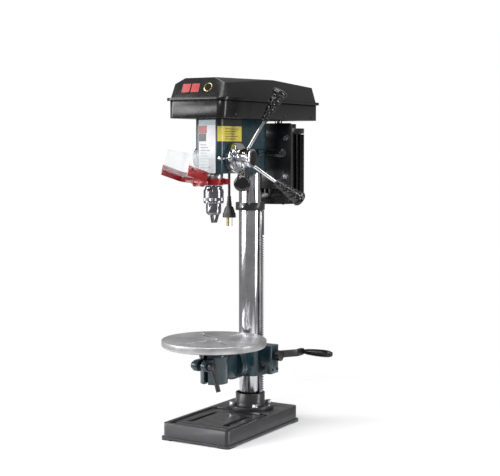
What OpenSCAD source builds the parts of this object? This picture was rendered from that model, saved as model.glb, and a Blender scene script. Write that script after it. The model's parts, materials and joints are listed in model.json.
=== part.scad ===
// Bench drill press: cast base, round column, rack-and-pinion tilting table,
// belt-driven head with a sliding quill, keyed chuck and a flip-up chuck guard.
// Millimetres. Z is up, the column's axis is X = Y = 0 and the floor is Z = 0.
// The front of the machine faces -Y, the feed handle is on +X.

/* [Base] */
// Half width of the base's upright rim
base_hx = 97; // [90:1:105]
// Front edge of the base
base_y0 = -268; // [-290:1:-260]
// Rear edge of the base
base_y1 = 85; // [80:1:100]
// Height of the rim above the floor
base_h = 43; // [38:1:50]
// Distance of the two long slots from the middle
long_slot_x = 50; // [45:1:55]

/* [Column] */
// Height of the column's top end
column_top = 800; // [795:1:804]
// Radius of the column's flange
flange_r = 62; // [60:1:68]

/* [Table] */
// Radius of the round table
table_r = 133; // [125:1:136]
// Height of the table's face at rest
table_top_z = 251; // [249:1:254]
// Turn of the table about its stem at rest
table_turn_deg = 21.5; // [0:0.5:90]

/* [Head] */
// Underside of the head casting
head_z0 = 670; // [668:1:672]
// Top of the head casting
head_z1 = 806; // [806:1:808]
// Half width of the head casting
head_hx = 40; // [38:1:42]
// Front face of the head casting
head_y0 = -207; // [-210:1:-205]

/* [Feed] */
// Reach of the feed spokes from the shaft's axis
spoke_reach = 166; // [150:1:170]

/* [Drive] */
// Height of one pulley step
step_h = 14; // [13:0.5:14]
// Underside of the pulleys' lowest step
pulley_z = 818; // [816:1:820]
// Distance of the motor's axis behind the column
motor_y = 150; // [148:1:154]
// Distance of the idler's axis behind the column
idler_y = -12; // [-14:1:-10]

/* [Hood] */
// Half width of the hood's lower pan
hood_hx = 82; // [80:1:84]
// Front of the hood's lower pan
hood_y0 = -262; // [-264:1:-260]
// Rear of the hood's lower pan
hood_y1 = 229; // [226:1:232]
// Height where the hood's cover meets the pan
hood_split = 849; // [848:1:850]

/* [Cord] */
// Diameter of the mains lead
cord_d = 7; // [6:0.5:8]
// Radius of the coiled lead at the middle of its turns
coil_r = 40; // [38:1:42]

/* [Hidden] */
$fn = 64;
// Radius of the column, and the axes that the gears, the quill and the table share
column_r = 30;
throat = 178;
tilt_z = 175;
feed_y = -153;
feed_z = 708;
// Pitch radii of the spindle's and the motor's step pulley, from the bottom
pulley_r = [50, 42, 34, 26];
facet_fn = 32;
fit = 0.05;
gap = 0.4;
tiny = 0.02;
deck_z = 38;
bore_r = column_r + fit;
rack_m = 2;
lift_teeth = 14;
lift_r = rack_m * lift_teeth / 2;
rack_tip = 39;
rack_pitch_x = rack_tip - rack_m;
lift_x = rack_pitch_x + lift_r;
lift_z = 168;
worm_r = 8;
worm_z = lift_z + lift_r + worm_r;
crank_reach = 88;
feed_m = 1.25;
feed_teeth = 19;
feed_r = feed_m * feed_teeth / 2;
quill_r = 20;
quill_rack_y = feed_y - feed_r;
spindle_r = 7.5;
quill_z0 = 640;
quill_z1 = 792;
chuck_z = 566;
jaw_tip_z = 546;
jaw_r = 4;
jaw_lean = 15;
guard_out = 50;
guard_z = 643;
guard_yaw = -15;
guard_tilt = 16.4;
bar_x = 40;
bar_z = 721;
bar_r = 6;
plate_y = 71;
lip = 7;
lip_h = 7;
coil_x = -71.5;
coil_y = -5;
coil_z = 719;
gland_x = -57;
gland_z = 762.5;
// The lead's way from its gland to the coil, and from the coil to the plug
lead_in = [
    [-57, -32, 762.5], [-57, -28.5, 762.5], [-57.8, -24, 762.5], [-61.5, -14, 762.5],
    [-64, -7, 762.5], [-64.5, -1, 762.3]
];
lead_out = [
    [-82.5, 29.3, 731.5], [-84.8, 30.9, 725.3], [-85.5, 31.5, 719], [-85.8, 31.9, 712],
    [-86, 32.3, 704], [-86, 32.7, 694], [-86, 33, 682], [-86, 33, 668], [-86, 33, 654],
    [-86, 33, 640], [-86, 33, 620], [-86, 33, 604]
];
plug_x = -86;
plug_y = 33;

// ---- shapes that repeat ----

module zcyl(r, z0, z1, x = 0, y = 0) { translate([x, y, z0]) cylinder(r = r, h = z1 - z0); }
module xcyl(r, x0, x1, y = 0, z = 0) {
    translate([x0, y, z]) rotate([0, 90, 0]) cylinder(r = r, h = x1 - x0);
}
module ycyl(r, y0, y1, x = 0, z = 0) {
    translate([x, y1, z]) rotate([90, 0, 0]) cylinder(r = r, h = y1 - y0);
}
module box(x0, x1, y0, y1, z0, z1) { translate([x0, y0, z0]) cube([x1 - x0, y1 - y0, z1 - z0]); }
module rbox(x0, x1, y0, y1, z0, z1, r) {
    box(x0 + r, x1 - r, y0, y1, z0, z1);
    box(x0, x1, y0 + r, y1 - r, z0, z1);
    for (x = [x0 + r, x1 - r], y = [y0 + r, y1 - r]) zcyl(r, z0, z1, x, y);
}
module ring(r_in, r_out, z0, z1, x = 0, y = 0) {
    translate([x, y, 0]) difference() {
        zcyl(r_out, z0, z1);
        zcyl(r_in, z0 - 1, z1 + 1);
    }
}
// A hexagon head of the given distance across its corners
module hex_head(r, z0, z1, x, y) { translate([x, y, z0]) cylinder(r = r, h = z1 - z0, $fn = 6); }

// Involute gear outline: n teeth of module m, t thick on the pitch circle
function involute(a) = tan(a) * 180 / PI - a;
function half_tooth(r, rp, rb, t) =
    t / (2 * rp) * 180 / PI + involute(20) - involute(acos(min(1, rb / max(r, rb))));
function gear_points(n, m, t, add = 1, ded = 1.25, steps = 4) =
    let (rp = n * m / 2, rb = rp * cos(20), tip = rp + add * m, root = rp - ded * m)
    let (start = max(rb, root))
    let (radii = [for (i = [0 : steps]) start + (tip - start) * i / steps])
    [for (k = [0 : n - 1]) let (c = k * 360 / n)
        for (p = concat(
            [[root, -half_tooth(start, rp, rb, t)]],
            [for (r = radii) [r, -half_tooth(r, rp, rb, t)]],
            [for (i = [steps : -1 : 0]) [radii[i], half_tooth(radii[i], rp, rb, t)]],
            [[root, half_tooth(start, rp, rb, t)]]))
        [p[0] * cos(c + p[1]), p[0] * sin(c + p[1])]];

// Rack outline in X and Z: back face at x_back, teeth pointing to +X
function rack_points(x_back, x_tip, m, t, z_low, z_high, z_gap) =
    let (pitch = PI * m, k0 = ceil((z_low - z_gap) / pitch), k1 = floor((z_high - z_gap) / pitch) - 1)
    let (root = x_tip - 2.25 * m, ht = t / 2 - m * tan(20), hb = t / 2 + 1.25 * m * tan(20))
    concat([[x_back, z_low], [root, z_low]],
        [for (k = [k0 : k1]) let (c = z_gap + (k + 0.5) * pitch)
            for (p = [[root, c - hb], [x_tip, c - ht], [x_tip, c + ht], [root, c + hb]]) p],
        [[root, z_high], [x_back, z_high]]);

// A tube swept along a route, with one ring of points at each point of the route
function unit(v) = v / norm(v);
function heading(path, i) =
    unit(path[min(i + 1, len(path) - 1)] - path[max(i - 1, 0)]);
module swept_tube(path, d, sides = 10) {
    n = len(path);
    side = [1, 0, 0];
    rings = [for (i = [0 : n - 1])
        let (h = heading(path, i), a = unit(cross(h, cross(side, h))), b = cross(h, a))
        for (k = [0 : sides - 1])
            path[i] + d / 2 * (a * cos(k * 360 / sides) + b * sin(k * 360 / sides))];
    faces = concat(
        [[for (k = [0 : sides - 1]) k]],
        [[for (k = [sides - 1 : -1 : 0]) (n - 1) * sides + k]],
        [for (i = [0 : n - 2], k = [0 : sides - 1])
            [i * sides + k, (i + 1) * sides + k,
             (i + 1) * sides + (k + 1) % sides, i * sides + (k + 1) % sides]]);
    polyhedron(rings, faces);
}

// ---- base and column ----

module base_casting() {
    foot = 5;
    rim = 9;
    groove = 10;
    pad_hx = 79;
    pad_y = [-238, -58];
    wall = 12;
    slot_r = 6.5;
    slot_y = [-204, -92];
    hook_r = 10;
    bench_x = 69.5;
    bench_y = -47;
    bench_half = 7.5;
    bench_r = 5;
    color([0.20, 0.20, 0.21]) difference() {
        union() {
            rbox(-base_hx, base_hx, base_y0, base_y1, 7, base_h, 10);
            rbox(-base_hx - foot, base_hx + foot, base_y0 - foot, base_y1 + foot, 0, 8, 12);
        }
        // hollow underside, with a round boss left under the column
        difference() {
            rbox(-base_hx + wall, base_hx - wall, base_y0 + wall, base_y1 - wall, -1, 30, 8);
            zcyl(46, -2, 31);
            box(-4, 4, base_y0, base_y1, 4, 31);
            for (y = [-150, -60]) box(-base_hx, base_hx, y - 3, y + 3, 4, 31);
        }
        // four feet: the lower edge is relieved between the corners
        box(-base_hx + 28, base_hx - 28, base_y0 - 20, base_y0 + wall + 1, -1, 3.5);
        box(-base_hx + 28, base_hx - 28, base_y1 - wall - 1, base_y1 + 20, -1, 3.5);
        for (s = [-1, 1]) translate([s * base_hx, 0, 0])
            box(-wall - 1, wall + 1, base_y0 + 35, base_y1 - 35, -1, 3.5);
        // recessed groove round the raised work pad
        difference() {
            rbox(-base_hx + rim, base_hx - rim, base_y0 + groove, pad_y[1] + groove,
                 deck_z, base_h + 1, 6);
            rbox(-pad_hx, pad_hx, pad_y[0], pad_y[1], deck_z - 1, base_h - 2, 6);
        }
        for (s = [-1, 1]) {
            box(s * long_slot_x - slot_r, s * long_slot_x + slot_r, slot_y[0], slot_y[1], 20, 50);
            for (y = slot_y) zcyl(slot_r, 20, 50, s * long_slot_x, y);
            zcyl(hook_r, 20, 50, s * (long_slot_x + 4), slot_y[0]);
            // bench slots beside the column
            box(s * bench_x - bench_half, s * bench_x + bench_half, bench_y - bench_r,
                bench_y + bench_r, -1, 50);
            for (e = [-1, 1]) zcyl(bench_r, -1, 50, s * bench_x + e * bench_half, bench_y);
        }
        for (a = [45 : 90 : 315]) zcyl(4, 20, 50, 50 * cos(a), 50 * sin(a));
        zcyl(column_r - 6, 20, 50);
    }
}

module column_flange() {
    boss_r = 39;
    boss_top = 85;
    color([0.22, 0.22, 0.23]) difference() {
        union() {
            zcyl(flange_r, base_h, base_h + 10);
            zcyl(boss_r + 1.8, base_h + 9, base_h + 16);
            zcyl(boss_r, base_h + 9, boss_top);
        }
        zcyl(column_r + tiny, base_h + 2, boss_top + 1);
        zcyl(column_r - 6, base_h - 1, base_h + 3);
        // ring groove that the rack's lower tongue runs round in
        ring(column_r + tiny, 35.4, 70, boss_top + 1);
        for (a = [45 : 90 : 315]) zcyl(4, base_h - 1, base_h + 20, 50 * cos(a), 50 * sin(a));
    }
}

module flange_bolts() {
    color([0.75, 0.75, 0.77]) for (a = [45 : 90 : 315]) {
        zcyl(3.9, 26, 54, 50 * cos(a), 50 * sin(a));
        zcyl(9, 53, 55, 50 * cos(a), 50 * sin(a));
        hex_head(7.5, 55, 61, 50 * cos(a), 50 * sin(a));
    }
}

module column() {
    color([0.78, 0.78, 0.80]) ring(column_r - 4, column_r, base_h + 2, column_top);
}

module rack_collar() {
    color([0.16, 0.16, 0.17]) {
        difference() {
            zcyl(38.5, 571, 591);
            zcyl(column_r + tiny, 570, 592);
            ring(column_r - 1, 35.4, 570, 580);
            xcyl(3, -45, 0, 0, 585.5);
        }
        xcyl(2.9, -42, -column_r - tiny, 0, 585.5);
    }
}

module rack() {
    back = 30.6;
    half_w = 6;
    z0 = 86.5;
    z1 = 570.4;
    tooth_top = 505;
    color([0.62, 0.62, 0.64]) {
        translate([0, half_w, 0]) rotate([90, 0, 0]) linear_extrude(2 * half_w) polygon(
            rack_points(back, rack_tip, rack_m, 2.75, z0, tooth_top, lift_z));
        box(back, rack_tip, -half_w, half_w, tooth_top, z1);
        for (z = [[72, z0 + 1], [z1 - 1, 579]])
            box(back, 34.2, -half_w + 1, half_w - 1, z[0], z[1]);
    }
}

// ---- table ----

module table_bracket() {
    collar_r = 42;
    z0 = 134;
    z1 = 215;
    face_y = -90;
    hinge_r = 40;
    color([0.10, 0.28, 0.33]) difference() {
        union() {
            zcyl(collar_r, z0, z1);
            zcyl(collar_r + 2, z1 - 10, z1);
            rbox(28, 76, -21, 21, 142, 216, 5);
            box(-24, 24, face_y + 2, -20, 148, 202);
            ycyl(hinge_r, face_y, face_y + 16, 0, tilt_z);
            ycyl(30, face_y + 14, -30, 0, tilt_z);
            box(-62, -36, -13, 13, 150, 200);
        }
        zcyl(bore_r, z0 - 1, z1 + 1);
        // the rack runs through the collar
        box(20, 40.2, -6.6, 6.6, z0 - 1, z1 + 1);
        // gear chamber, worm bore and their shafts
        ycyl(17, -8, 8, lift_x, lift_z);
        ycyl(6 + fit, -22, 22, lift_x, lift_z);
        xcyl(10.4, 40, 66, 0, worm_z);
        xcyl(6 + fit, 60, 80, 0, worm_z);
        // clamp split and its cross hole
        box(-64, -28, -1.5, 1.5, z0 - 1, z1 + 1);
        ycyl(5 + fit, -14, 14, -52, tilt_z);
        // tilt bolt
        ycyl(8, face_y - 1, face_y + 40, 0, tilt_z);
    }
}

module tilt_bolt() {
    color([0.55, 0.55, 0.57]) ycyl(7.97, -113, -51, 0, tilt_z);
}

module bracket_lock_lever() {
    color([0.15, 0.15, 0.16]) {
        ycyl(4.96, -30, 22, -52, tilt_z);
        ycyl(9, -26, -13.6, -52, tilt_z);
        ycyl(8, 13.6, 21, -52, tilt_z);
        translate([-52, -24, tilt_z]) rotate([0, 200, 0]) {
            zcyl(4, 4, 58);
            translate([0, 0, 62]) sphere(r = 8);
        }
    }
}

module lift_gear() {
    color([0.60, 0.58, 0.50]) {
        translate([lift_x, 7.5, lift_z]) rotate([90, 0, 0]) linear_extrude(15) rotate(180)
            polygon(gear_points(lift_teeth, rack_m, 2.5));
        ycyl(6, -20.5, 20.5, lift_x, lift_z);
    }
}

// One thread wound round the crank shaft
module lift_worm() {
    lead = PI * rack_m;
    turns = 2;
    root_r = 5.5;
    tip_r = 9.6;
    arc = 84;
    blend = 26;
    // thread section: high over an arc, low elsewhere
    section = [for (a = [0 : 15 : 345])
        let (d = abs(a - 180), s = max(0, min(1, (arc / 2 + blend - d) / blend)))
        (root_r + (tip_r - root_r) * s) * [cos(a), sin(a)]];
    color([0.55, 0.55, 0.57]) {
        translate([lift_x, 0, worm_z]) rotate([0, 90, 0]) rotate(180)
            translate([0, 0, -turns * lead / 2])
            linear_extrude(turns * lead, twist = -360 * turns, slices = 12 * turns, convexity = 6)
            rotate(-180 * turns) polygon(section);
        xcyl(5.4, 40.6, 67, 0, worm_z);
        xcyl(6, 66, 84, 0, worm_z);
    }
}

module crank_arm() {
    hub_x = 77;
    pin_x = 112;
    thick = 8;
    step_deg = 34;
    color([0.16, 0.16, 0.17]) {
        difference() {
            xcyl(14, hub_x, hub_x + 18, 0, worm_z);
            xcyl(6, hub_x - 1, 84, 0, worm_z);
        }
        // S-shaped arm: a flat bar that steps outwards on its way
        box(hub_x + 4, hub_x + 4 + thick, 8, 34, worm_z - 9, worm_z + 9);
        translate([hub_x + 4, 30, worm_z - 9]) rotate([0, 0, -step_deg]) cube([thick, 41, 18]);
        box(pin_x - thick, pin_x, 61, crank_reach, worm_z - 9, worm_z + 9);
        xcyl(9, pin_x - thick, pin_x, crank_reach, worm_z);
        xcyl(4, pin_x - 2, 196, crank_reach, worm_z);
        xcyl(6.5, 196, 198, crank_reach, worm_z);
    }
}

module crank_grip() {
    color([0.10, 0.10, 0.11]) translate([0, crank_reach, worm_z]) rotate([0, 90, 0])
        rotate_extrude() polygon([
            [4.08, 113], [6, 113], [6.5, 118], [8, 128], [9.5, 150], [10, 175], [9, 190],
            [7, 195.4], [4.08, 195.4]]);
}

module table_arm() {
    boss_r = 35;
    boss_z = [140, 214.6];
    flange_y = -90.6;
    ear_y = -232;
    color([0.10, 0.28, 0.33]) difference() {
        union() {
            ycyl(40, flange_y - 12, flange_y, 0, tilt_z);
            box(-22, 22, -throat, flange_y - 6, 146, 204);
            zcyl(boss_r, boss_z[0], boss_z[1], 0, -throat);
            zcyl(boss_r + 2.5, boss_z[1] - 9, boss_z[1], 0, -throat);
            for (x = [-22, 4]) {
                box(x, x + 14, ear_y, -throat, tilt_z + 2, tilt_z + 30);
                xcyl(14, x, x + 14, ear_y, tilt_z + 16);
            }
        }
        zcyl(20 + fit, boss_z[0] - 1, boss_z[1] + 1, 0, -throat);
        box(-8, 4, ear_y - 20, -throat, boss_z[0] - 1, boss_z[1] + 1);
        xcyl(5 + fit, -30, 30, ear_y, tilt_z + 16);
        ycyl(8 + fit, flange_y - 30, flange_y + 1, 0, tilt_z);
    }
}

table_web = 10;
table_hub_r = 36;

module table_top() {
    rim_z = 232;
    web_z = table_top_z - table_web;
    slot_in = 38;
    slot_out = 96;
    slot_r = 5.5;
    color([0.62, 0.63, 0.64]) translate([0, -throat, 0]) difference() {
        union() {
            rotate_extrude() polygon([
                [0, table_top_z], [table_r - 1.5, table_top_z], [table_r, table_top_z - 1.5],
                [table_r, rim_z + 6], [table_r - 2, rim_z + 2], [table_r - 6, rim_z],
                [table_r - 12, rim_z], [table_r - 14, web_z], [0, web_z]]);
            for (a = [0 : 45 : 315]) rotate(a + table_turn_deg)
                box(table_hub_r + 1, table_r - 10, -3, 3, rim_z + 1, web_z + 1);
        }
        zcyl(8, 140, table_top_z + 1);
        rotate(table_turn_deg) for (a = [60, 120, 240, 300]) rotate(a) {
            box(slot_in, slot_out, -slot_r, slot_r, 200, 260);
            for (x = [slot_in, slot_out]) zcyl(slot_r, 200, 260, x, 0);
        }
    }
}

// Stem that turns in the arm, with its flange under the table
module table_stem() {
    stem_r = 20;
    color([0.10, 0.28, 0.33]) translate([0, -throat, 0]) difference() {
        union() {
            zcyl(stem_r, 142, 216);
            zcyl(table_hub_r, 215, table_top_z - table_web);
        }
        zcyl(8, 140, table_top_z);
    }
}

module table_lock_lever() {
    y = -232;
    z = tilt_z + 16;
    color([0.15, 0.15, 0.16]) {
        xcyl(4.96, -27, 32, y, z);
        xcyl(9, -29, -22.6, y, z);
        xcyl(10, 18.6, 34, y, z);
        translate([28, y, z]) rotate([0, 162, 0]) {
            zcyl(4.5, 6, 56);
            zcyl(6, 44, 64);
        }
    }
}

// ---- head ----

// Round the column the head is a boss of this radius
head_boss_r = 42;

module head_casting() {
    corner = 15;
    body_y1 = 0;
    left_boss = -47;
    color([0.10, 0.28, 0.33]) difference() {
        union() {
            box(-head_hx, head_hx, head_y0 + corner, body_y1, head_z0, head_z1);
            box(-head_hx + corner, head_hx - corner, head_y0, 0, head_z0, head_z1);
            for (s = [-1, 1]) zcyl(corner, head_z0, head_z1, s * (head_hx - corner), head_y0 + corner);
            zcyl(head_boss_r, head_z0, head_z1);
            xcyl(38, head_hx - 2, 50, feed_y, feed_z);
            xcyl(30, left_boss, -head_hx + 2, feed_y, feed_z);
            for (s = [-1, 1]) ycyl(10, -36, 44, s * bar_x, bar_z);
        }
        zcyl(bore_r, head_z0 - 1, column_top + 1);
        zcyl(quill_r + fit, head_z0 - 1, quill_z1 + 1, 0, -throat);
        zcyl(17.5, quill_z1, head_z1 + 1, 0, -throat);
        // feed shaft and pinion, open to the quill
        xcyl(8 + fit, left_boss - 1, 60, feed_y, feed_z);
        xcyl(14, -16, 16, feed_y, feed_z);
        // core between the quill and the column, open below the hood
        rbox(-32, 32, -132, -44, 684, head_z1 + 1, 8);
        // slide bars of the motor
        for (s = [-1, 1]) ycyl(bar_r + fit, -33, 50, s * bar_x, bar_z);
        xcyl(4.1, bar_x, 60, 0, bar_z);
    }
}

module motor_bars() {
    color([0.70, 0.70, 0.72]) for (s = [-1, 1]) {
        ycyl(bar_r, -20, plate_y, s * bar_x, bar_z);
    }
}

module tension_knob() {
    color([0.09, 0.09, 0.10]) translate([0, 0, bar_z]) rotate([0, 90, 0])
        rotate_extrude() polygon([
            [0, 46.6], [4, 46.6], [4, 51], [8, 51], [7, 60], [8, 66], [11, 78],
            [12, 90], [11, 99], [8, 103], [0, 103]]);
}

module spring_cover() {
    color([0.12, 0.12, 0.13]) translate([-47.4, feed_y, feed_z]) rotate([0, -90, 0])
        difference() {
            union() {
                cylinder(r = 28, h = 14);
                cylinder(r = 12, h = 17);
            }
            translate([0, 0, -1]) cylinder(r = 25.5, h = 13);
            translate([0, 0, -1]) cylinder(r = 8.4, h = 30);
        }
}

// Flat clock spring that lifts the quill
module return_spring() {
    turns = 5;
    r_in = 10;
    pitch = 2.6;
    strip = 0.9;
    steps = 20;
    function at(k, off) = let (a = 360 * k / steps, r = r_in + off + pitch * k / steps)
        [r * cos(a), r * sin(a)];
    color([0.45, 0.47, 0.55]) translate([-48.6, feed_y, feed_z]) rotate([0, -90, 0])
        linear_extrude(8) polygon(concat(
            [for (k = [0 : turns * steps]) at(k, 0)],
            [for (k = [turns * steps : -1 : 0]) at(k, strip)]));
}

module feed_shaft() {
    color([0.66, 0.66, 0.68]) {
        xcyl(8, -62, 60, feed_y, feed_z);
        translate([-14, feed_y, feed_z]) rotate([0, 90, 0]) linear_extrude(28)
            rotate(-90) polygon(gear_points(feed_teeth, feed_m, 1.7));
    }
}

module feed_hub() {
    color([0.80, 0.80, 0.82]) translate([0, feed_y, feed_z]) rotate([0, 90, 0])
        difference() {
            rotate_extrude() polygon([
                [0, 50.4], [16, 50.4], [16, 60.4], [21, 60.4], [24, 64], [24, 78], [20, 88],
                [23, 92], [23, 99], [19, 101], [0, 101]]);
            translate([0, 0, 50]) cylinder(r = 8, h = 10);
            for (k = [0 : 2]) rotate([0, 0, spoke_turn(k)]) spoke_axis()
                translate([0, 0, spoke_from]) cylinder(r = 4.5, h = 40);
        }
}

// Turn of each spoke about the feed shaft, in the shaft's own frame
function spoke_turn(k) = 170.7 + 120 * k;
spoke_x0 = 71;
spoke_from = 12;
spoke_x1 = 163;
spoke_cone = atan(spoke_reach / (spoke_x1 - spoke_x0));
spoke_len = norm([spoke_reach, spoke_x1 - spoke_x0]);
module spoke_axis() { translate([0, 0, spoke_x0]) rotate([0, spoke_cone, 0]) children(); }
module on_spokes() {
    translate([0, feed_y, feed_z]) rotate([0, 90, 0]) for (k = [0 : 2])
        rotate([0, 0, spoke_turn(k)]) spoke_axis() children();
}

module feed_spokes() {
    color([0.80, 0.80, 0.82]) on_spokes()
        translate([0, 0, spoke_from]) cylinder(r = 4.5, h = spoke_len - spoke_from - 6);
}

module feed_grips() {
    from = 0.56 * spoke_len;
    color([0.08, 0.08, 0.09]) on_spokes() difference() {
        rotate_extrude() polygon([
            [0, from], [8, from], [9, from + 4], [11, from + 24], [15.5, spoke_len - 24],
            [16, spoke_len - 10], [19.5, spoke_len - 6], [20, spoke_len - 2],
            [17, spoke_len + 3], [0, spoke_len + 4]]);
        cylinder(r = 4.5, h = spoke_len - 6);
    }
}

// Depth stop ring with its clamp screw
module depth_ring() {
    screw_x = 55.3;
    color([0.72, 0.73, 0.75]) {
        difference() {
            xcyl(38, 50.6, 60, feed_y, feed_z);
            xcyl(16 + fit, 40, 70, feed_y, feed_z);
            ycyl(2.6, feed_y - 50, feed_y, screw_x, feed_z);
        }
        ycyl(2.55, feed_y - 70, feed_y - 17, screw_x, feed_z);
        ycyl(4.5, feed_y - 85, feed_y - 68, screw_x, feed_z);
    }
}

// ---- quill, spindle and chuck ----

module quill() {
    collar_r = 24;
    flat = quill_rack_y + feed_m + throat;
    seat_r = 16;
    color([0.30, 0.31, 0.33]) difference() {
        union() {
            zcyl(collar_r, quill_z0, head_z0 - 0.6, 0, -throat);
            difference() {
                zcyl(quill_r, head_z0 - 1, quill_z1, 0, -throat);
                box(-30, 30, flat - throat, 0, 690, quill_z1 + 1);
            }
        }
        zcyl(8.6, quill_z0 - 1, quill_z1 + 1, 0, -throat);
        zcyl(seat_r, quill_z0 - 1, quill_z0 + 9, 0, -throat);
        // rack teeth: a row of gaps cut across the flat
        for (k = [-4 : 22]) translate([0, quill_rack_y, feed_z + k * PI * feed_m])
            rotate([90, 0, 90]) linear_extrude(30, center = true) polygon([
                [-1.25 * feed_m, -0.72], [feed_m + 1, -1.85], [feed_m + 1, 1.85],
                [-1.25 * feed_m, 0.72]]);
    }
}

module quill_bearing() {
    color([0.75, 0.76, 0.78]) {
        ring(spindle_r + fit, 16, quill_z0, quill_z0 + 9, 0, -throat);
        ring(spindle_r + fit, 8.6, 776, quill_z1, 0, -throat);
    }
}

module spindle() {
    spline_z = 788;
    top_z = 880;
    color([0.70, 0.70, 0.72]) difference() {
        zcyl(spindle_r, 618, top_z, 0, -throat);
        translate([0, -throat, 0]) for (a = [0 : 60 : 300]) rotate(a)
            box(6.1, 9, -1.3, 1.3, spline_z, top_z + 1);
    }
}

module at_jaw(k) {
    translate([0, -throat, jaw_tip_z]) rotate(120 * k - 90) translate([4.25, 0, 0])
        rotate([0, jaw_lean, 0]) children();
}

module chuck_body() {
    color([0.42, 0.43, 0.45]) difference() {
        translate([0, -throat, 0]) rotate_extrude() polygon([
            [0, chuck_z], [14, chuck_z], [19, chuck_z + 6], [19, 599], [12, 599],
            [12, 630.4], [22, 630.4], [22, 636], [20, 638.6], [0, 638.6]]);
        zcyl(spindle_r, 618, 650, 0, -throat);
        zcyl(8, chuck_z - 1, 600, 0, -throat);
        for (k = [0 : 2]) at_jaw(k) cylinder(r = jaw_r + fit, h = 60);
    }
}

module chuck_sleeve() {
    color([0.50, 0.51, 0.53]) translate([0, -throat, 0]) rotate_extrude() polygon([
        [19 + fit, 595], [24, 595], [25.5, 597], [25.5, 626], [24.5, 630], [22.6, 630],
        [22.6, 600], [19 + fit, 600]]);
}

module jaw(k) {
    keep = 0.25;
    jaw_h = 34;
    color([0.60, 0.61, 0.63]) difference() {
        intersection() {
            at_jaw(k) cylinder(r = jaw_r, h = jaw_h);
            // each jaw keeps to its own third round the axis
            translate([0, -throat, jaw_tip_z - 5]) rotate(120 * k - 90) linear_extrude(60)
                polygon([[2 * keep, 0], [40, 38 * tan(60)], [40, -38 * tan(60)]]);
        }
        box(-20, 20, -throat - 20, -throat + 20, jaw_tip_z - 10, jaw_tip_z + 0.5);
    }
}
module jaw_1() { jaw(0); }
module jaw_2() { jaw(1); }
module jaw_3() { jaw(2); }

// ---- chuck guard ----

// The guard's own frame: X out from the spindle, Y across, Z up, at its hinge
module at_guard_side() { translate([0, -throat, guard_z]) rotate(guard_yaw - 90) children(); }
module at_guard() {
    at_guard_side() translate([guard_out, 0, 0]) rotate([0, -guard_tilt, 0]) children();
}
guard_hw = 50;
guard_turn = 16;
guard_a0 = 7;
guard_a1 = 84;
// U outline: two cheeks joined by a round turn at the hinge's side
function guard_outline(inset, steps = 24) = concat(
    [[guard_a1 + (inset > 0 ? 1 : 0), guard_hw - inset]],
    [for (i = [0 : steps]) let (a = 90 + 180 * i / steps)
        [guard_a0 + guard_turn + (guard_turn - inset) * cos(a), (guard_hw - inset) * sin(a)]],
    [[guard_a1 + (inset > 0 ? 1 : 0), -guard_hw + inset]]);

module guard_clamp() {
    color([0.62, 0.09, 0.11]) {
        difference() {
            union() {
                zcyl(28.5, 642, 658, 0, -throat);
                at_guard_side() box(24, guard_out - 4, -9, 9, -1, 9);
                at_guard_side() box(guard_out - 5.5, guard_out + 4, -9, 9, -4, 4);
                box(20, 44, -throat - 8, -throat + 8, 643, 657);
            }
            zcyl(24 + tiny, 630, 670, 0, -throat);
            box(20, 50, -throat - 1.5, -throat + 1.5, 630, 670);
            at_guard_side() translate([guard_out, 0, 0]) ycyl(3.05, -20, 20);
            ycyl(2.5, -throat - 20, -throat + 20, 37, 650);
        }
    }
}

module guard_frame() {
    wall = 2.6;
    height = 25;
    lug_in = 9.5;
    lug_out = 17;
    color([0.72, 0.10, 0.13]) at_guard() {
        translate([0, 0, 1.5]) linear_extrude(height) difference() {
            polygon(guard_outline(0));
            polygon(guard_outline(wall));
        }
        for (s = [-1, 1]) {
            ycyl(5, min(s * lug_in, s * lug_out), max(s * lug_in, s * lug_out));
            box(0, guard_a0 + 3, min(s * lug_in, s * lug_out), max(s * lug_in, s * lug_out), -1, 8);
        }
        ycyl(3, -lug_out, lug_out);
    }
}

module guard_shield() {
    wall = 2;
    inset = 2.9;
    color([0.85, 0.90, 0.92, 0.35]) at_guard() difference() {
        translate([0, 0, 14]) linear_extrude(80) difference() {
            polygon(guard_outline(inset));
            polygon(guard_outline(inset + wall));
        }
        translate([guard_a0 - 20, -60, 80]) rotate([0, 8, 0]) cube([140, 120, 60]);
        box(guard_a1, guard_a1 + 10, -60, 60, 0, 100);
    }
}

// ---- belt drive ----

// Outline of a stepped V pulley: pitch radii from the bottom, hub radius r_in
function v_step(r, z) = [
    [r + 2.5, z], [r + 2.5, z + 2.2], [r - 6, z + 4.6], [r - 6, z + step_h - 4.6],
    [r + 2.5, z + step_h - 2.2], [r + 2.5, z + step_h]];
module step_pulley(radii, r_in, y) {
    n = len(radii);
    translate([0, y, 0]) rotate_extrude() polygon(concat(
        [[r_in, pulley_z]],
        [for (i = [0 : n - 1]) for (p = v_step(radii[i], pulley_z + i * step_h)) p],
        [[r_in, pulley_z + n * step_h]]));
}
function reversed(list) = [for (i = [len(list) - 1 : -1 : 0]) list[i]];

module pulley_bearing() {
    color([0.75, 0.76, 0.78]) ring(12 + fit, 17.5, quill_z1 + 2, head_z1 - 1, 0, -throat);
}

module spindle_pulley() {
    color([0.66, 0.67, 0.70]) {
        step_pulley(pulley_r, 12, -throat);
        difference() {
            zcyl(12, quill_z1 + 2, pulley_z + 4 * step_h + 4, 0, -throat);
            difference() {
                zcyl(7.9, quill_z1, 890, 0, -throat);
                translate([0, -throat, 0]) for (a = [0 : 60 : 300]) rotate(a)
                    box(6.5, 9, -1, 1, quill_z1, 891);
            }
        }
    }
}

module idler_post() {
    color([0.55, 0.55, 0.57]) {
        zcyl(20, 809.4, 813, 0, idler_y);
        zcyl(8, 812, 878, 0, idler_y);
        zcyl(11, 812, pulley_z - 0.6, 0, idler_y);
        zcyl(10, 874.6, 880, 0, idler_y);
    }
}

module idler_pulley() {
    color([0.66, 0.67, 0.70]) step_pulley(reversed(pulley_r), 8 + fit, idler_y);
}

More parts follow.
